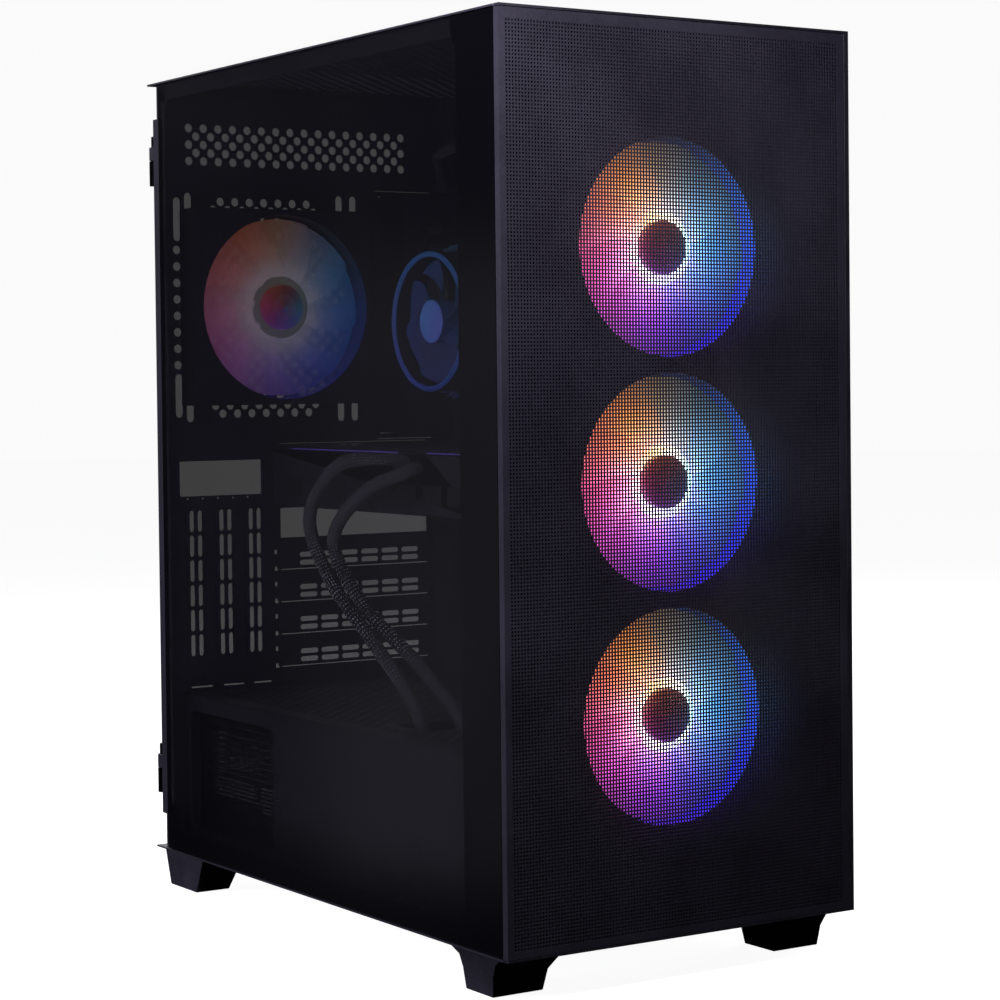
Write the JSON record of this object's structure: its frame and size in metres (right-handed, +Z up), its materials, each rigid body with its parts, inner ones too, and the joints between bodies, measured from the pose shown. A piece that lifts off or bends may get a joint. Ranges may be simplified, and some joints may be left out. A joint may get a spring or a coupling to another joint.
{
  "type": "desktop computer tower",
  "caption": "Mid-size computer tower with a hinged tinted glass door, perforated steel front, lit fans behind it, and a fitted board, graphics card, cooler and power supply.",
  "frame": {"origin": "centre of the overall box at floor level, under the feet", "axes": "+Z up, front towards -Y, glass door towards -X, rear panel towards +Y"},
  "size_m": [0.22, 0.395, 0.4904],
  "materials": {
    "powder_coated_steel": "fine-textured dark grey powder coat",
    "plated_steel": "dark zinc plating",
    "aluminium_parts": "bare pressed and cast aluminium",
    "circuit_board": "black solder mask",
    "black_plastic": "moulded black plastic",
    "supply_case": "black coated steel case, mostly air inside, so given plastic's density",
    "milky_plastic": "frosted clear plastic lit from the hub",
    "foot_plastic": "matt moulded plastic",
    "cable_sleeve": "woven black sleeve",
    "tinted_glass": "tempered glass, grey tint"
  },
  "bodies": {
    "chassis": {"top_panel": "powder_coated_steel", "bottom_panel": "powder_coated_steel", "rear_panel": "powder_coated_steel", "front_frame": "powder_coated_steel", "motherboard_tray": "powder_coated_steel", "supply_shroud": "powder_coated_steel", "power_supply": "supply_case", "motherboard": "circuit_board", "port_block": "aluminium_parts", "port_shield": "plated_steel", "memory_module_1": "circuit_board", "memory_module_2": "circuit_board", "regulator_heatsink": "aluminium_parts", "cooler_heatsink": "aluminium_parts", "cooler_ring": "milky_plastic", "graphics_board": "circuit_board", "graphics_shroud": "black_plastic", "front_fan_frame_1": "black_plastic", "front_fan_frame_2": "black_plastic", "front_fan_frame_3": "black_plastic", "rear_fan_frame": "black_plastic", "slot_cover_1": "powder_coated_steel", "slot_cover_2": "powder_coated_steel", "slot_cover_3": "powder_coated_steel", "slot_cover_4": "powder_coated_steel", "hinge_upper": "plated_steel", "hinge_lower": "plated_steel", "foot_front_left": "foot_plastic", "foot_front_right": "foot_plastic", "foot_rear_left": "foot_plastic", "foot_rear_right": "foot_plastic", "control_panel": "black_plastic", "drive_cage": "powder_coated_steel", "hard_drive": "aluminium_parts", "card_power_cable_1": "cable_sleeve", "card_power_cable_2": "cable_sleeve", "processor_power_cable": "cable_sleeve"},
    "door": {"glass_door": "tinted_glass", "door_rail": "powder_coated_steel", "door_stud_upper": "black_plastic", "door_stud_lower": "black_plastic"},
    "side_panel": {"right_side_panel": "powder_coated_steel"},
    "upper_side_screw": {"side_screw_upper": "plated_steel"},
    "lower_side_screw": {"side_screw_lower": "plated_steel"},
    "front_panel": {"front_mesh": "powder_coated_steel", "front_panel_frame": "black_plastic"},
    "roof_filter": {"top_filter": "black_plastic"},
    "floor_filter": {"bottom_filter": "black_plastic"},
    "front_rotor_1": {"front_fan_rotor_1": "milky_plastic"},
    "front_rotor_2": {"front_fan_rotor_2": "milky_plastic"},
    "front_rotor_3": {"front_fan_rotor_3": "milky_plastic"},
    "rear_rotor": {"rear_fan_rotor": "milky_plastic"},
    "processor_rotor": {"cooler_rotor": "milky_plastic"},
    "card_rotor_1": {"graphics_rotor_1": "black_plastic"},
    "card_rotor_2": {"graphics_rotor_2": "black_plastic"},
    "supply_rotor": {"power_supply_rotor": "black_plastic"},
    "start_button": {"power_button": "black_plastic"},
    "restart_button": {"reset_button": "black_plastic"},
    "supply_switch": {"power_supply_switch": "black_plastic"}
  },
  "joints": [
    {"name": "door_hinge", "type": "hinge", "parent": "chassis", "child": "door", "pos_m": [-0.1073, 0.194, 0.255], "axis": [0, 0, -1], "range_deg": [0, 110]},
    {"name": "side_panel_slide", "type": "slide", "parent": "chassis", "child": "side_panel", "axis": [0, 1, 0], "range_m": [0, 0.12]},
    {"name": "upper_side_screw_turn", "type": "hinge", "parent": "side_panel", "child": "upper_side_screw", "pos_m": [0.1026, 0.1949, 0.44], "axis": [0, 1, 0], "continuous": true},
    {"name": "lower_side_screw_turn", "type": "hinge", "parent": "side_panel", "child": "lower_side_screw", "pos_m": [0.1026, 0.1949, 0.07], "axis": [0, 1, 0], "continuous": true},
    {"name": "front_panel_pull", "type": "slide", "parent": "chassis", "child": "front_panel", "axis": [0, -1, 0], "range_m": [0, 0.06]},
    {"name": "roof_filter_lift", "type": "slide", "parent": "chassis", "child": "roof_filter", "axis": [0, 0, 1], "range_m": [0, 0.06]},
    {"name": "floor_filter_slide", "type": "slide", "parent": "chassis", "child": "floor_filter", "axis": [0, 1, 0], "range_m": [0, 0.12]},
    {"name": "front_fan_spin_1", "type": "hinge", "parent": "chassis", "child": "front_rotor_1", "pos_m": [0, -0.174, 0.133], "axis": [0, -1, 0], "continuous": true},
    {"name": "front_fan_spin_2", "type": "hinge", "parent": "chassis", "child": "front_rotor_2", "pos_m": [0, -0.174, 0.253], "axis": [0, -1, 0], "continuous": true},
    {"name": "front_fan_spin_3", "type": "hinge", "parent": "chassis", "child": "front_rotor_3", "pos_m": [0, -0.174, 0.373], "axis": [0, -1, 0], "continuous": true},
    {"name": "rear_fan_spin", "type": "hinge", "parent": "chassis", "child": "rear_rotor", "pos_m": [-0.033, 0.1752, 0.3524], "axis": [0, 1, 0], "continuous": true},
    {"name": "processor_fan_spin", "type": "hinge", "parent": "chassis", "child": "processor_rotor", "pos_m": [0.0235, 0.0765, 0.3415], "axis": [1, 0, 0], "continuous": true},
    {"name": "card_fan_spin_1", "type": "hinge", "parent": "chassis", "child": "card_rotor_1", "pos_m": [0.017, 0, 0.2365], "axis": [0, 0, 1], "continuous": true},
    {"name": "card_fan_spin_2", "type": "hinge", "parent": "chassis", "child": "card_rotor_2", "pos_m": [0.017, 0.118, 0.2365], "axis": [0, 0, 1], "continuous": true},
    {"name": "supply_fan_spin", "type": "hinge", "parent": "chassis", "child": "supply_rotor", "pos_m": [-0.009, 0.118, 0.038], "axis": [0, 0, 1], "continuous": true},
    {"name": "start_button_press", "type": "slide", "parent": "chassis", "child": "start_button", "axis": [0, 0, -1], "range_m": [0, 0.0015], "stiffness_N_per_m": 800, "springref_m": -0.001},
    {"name": "restart_button_press", "type": "slide", "parent": "chassis", "child": "restart_button", "axis": [0, 0, -1], "range_m": [0, 0.0015], "stiffness_N_per_m": 500, "springref_m": -0.001},
    {"name": "supply_switch_rock", "type": "hinge", "parent": "chassis", "child": "supply_switch", "pos_m": [-0.025, 0.1849, 0.062], "axis": [1, 0, 0], "range_deg": [-8, 8]}
  ]
}
